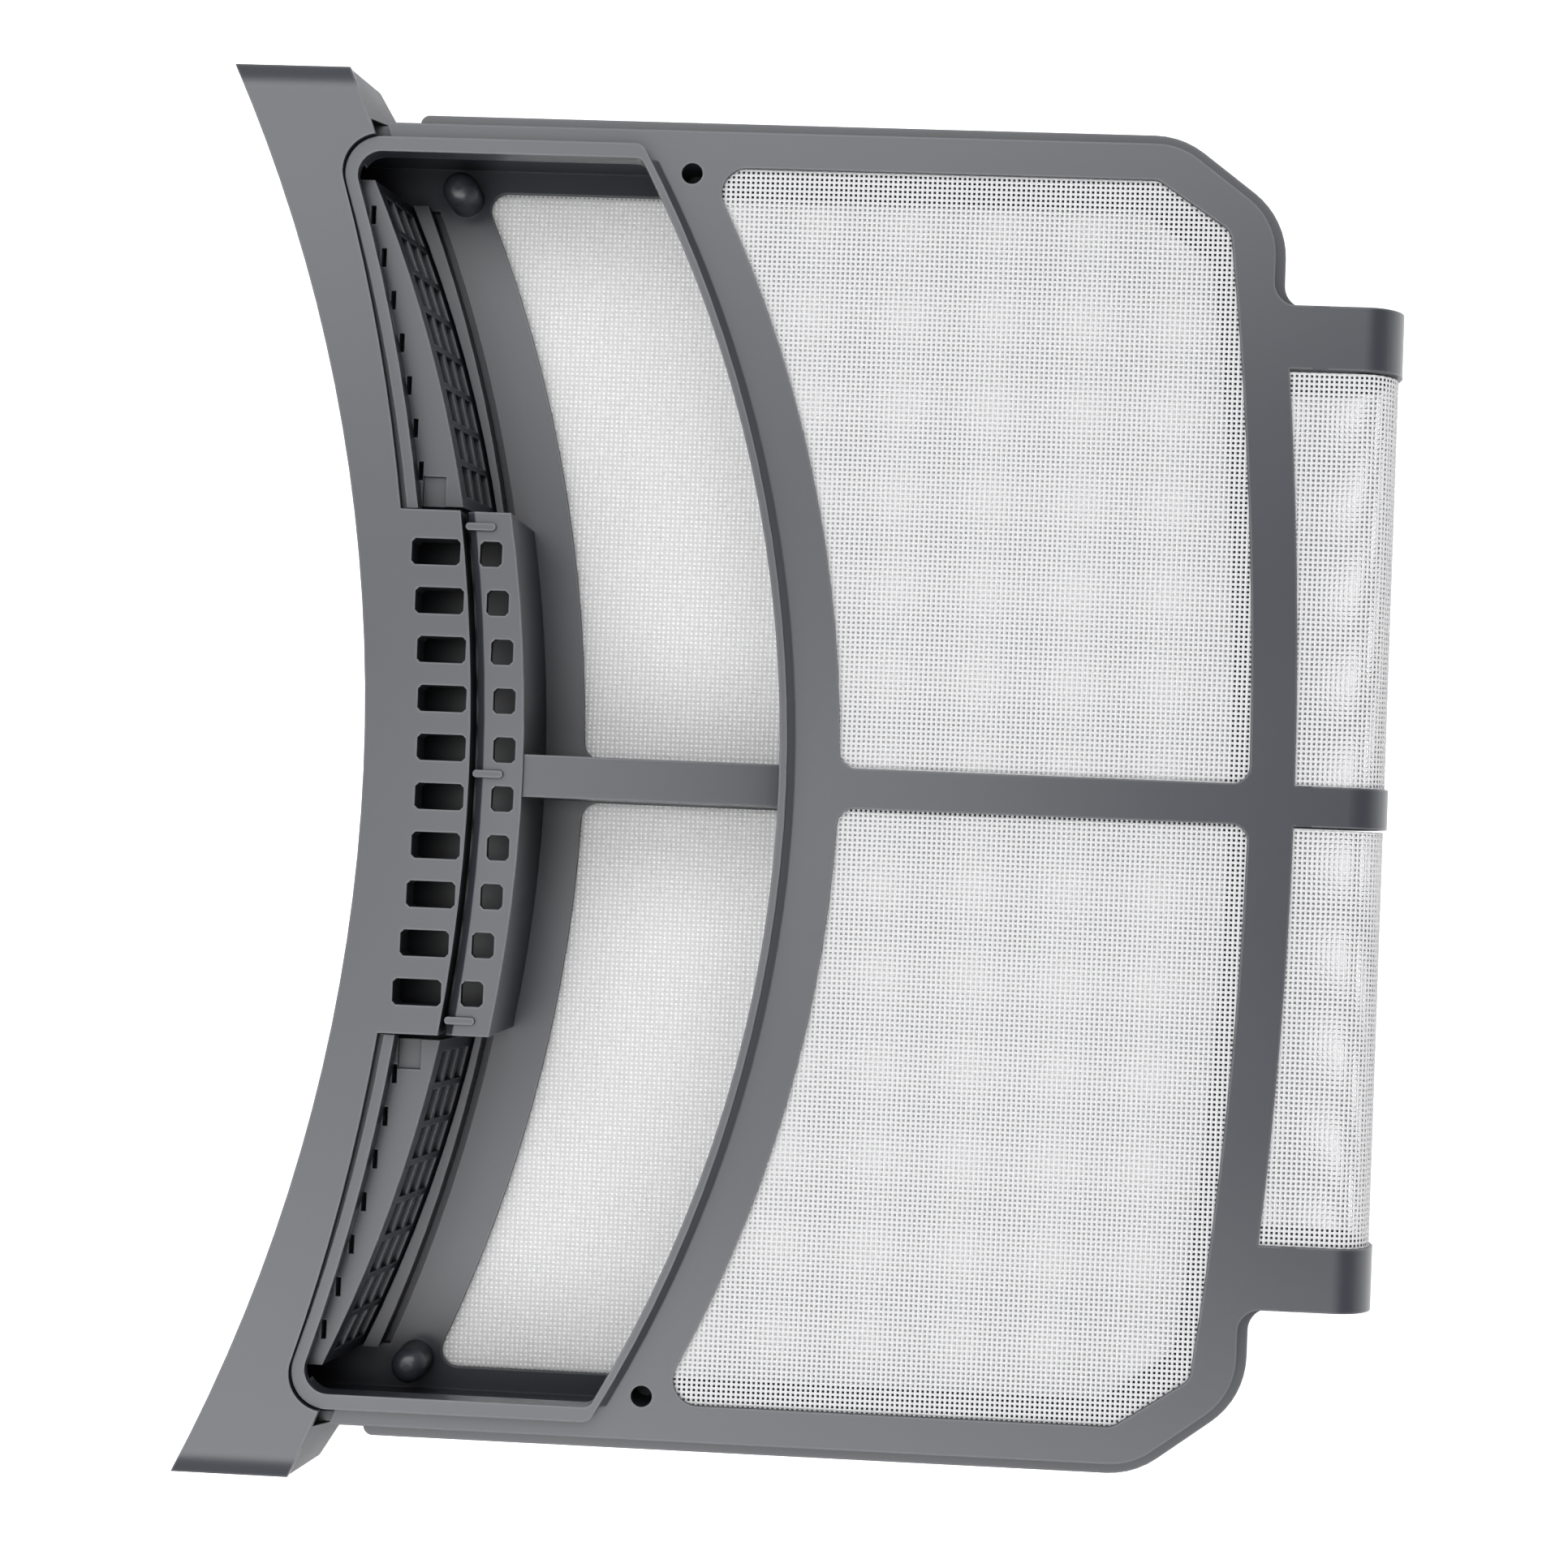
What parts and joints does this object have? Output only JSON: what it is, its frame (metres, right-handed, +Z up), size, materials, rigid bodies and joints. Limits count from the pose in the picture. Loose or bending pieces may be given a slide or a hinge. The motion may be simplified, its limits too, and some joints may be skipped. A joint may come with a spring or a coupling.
{
  "type": "tumble dryer lint filter",
  "caption": "Book-like lint filter for a tumble dryer: grey plastic leaves with woven white screens, an arched handle with a slotted tongue, and straps that fold round at the far edge.",
  "frame": {"origin": "middle of the bounding box, on the plane of the back leaf's outer face", "axes": "+X from the arched handle to the fold, +Y along the handle, +Z up through the front leaf; the filter lies closed on its back leaf"},
  "size_m": [0.2355, 0.28, 0.0322],
  "materials": {
    "grey_plastic": "satin moulded polypropylene",
    "white_mesh": "woven polyester mesh"
  },
  "bodies": {
    "back_leaf": {"back_frame": "grey_plastic", "back_screen": "white_mesh", "hinge_screen": "white_mesh", "hinge_strap_upper": "grey_plastic", "hinge_strap_centre": "grey_plastic", "hinge_strap_lower": "grey_plastic"},
    "front_leaf": {"front_frame": "grey_plastic", "front_screen": "white_mesh", "handle_bezel": "grey_plastic", "inlet_grille": "grey_plastic"}
  },
  "joints": [
    {"name": "leaf_fold", "type": "hinge", "parent": "back_leaf", "child": "front_leaf", "pos_m": [0.11695, 0, 0.0145], "axis": [0, 1, 0], "range_deg": [0, 175], "deforming": ["hinge_screen", "hinge_strap_upper", "hinge_strap_centre", "hinge_strap_lower"]}
  ]
}
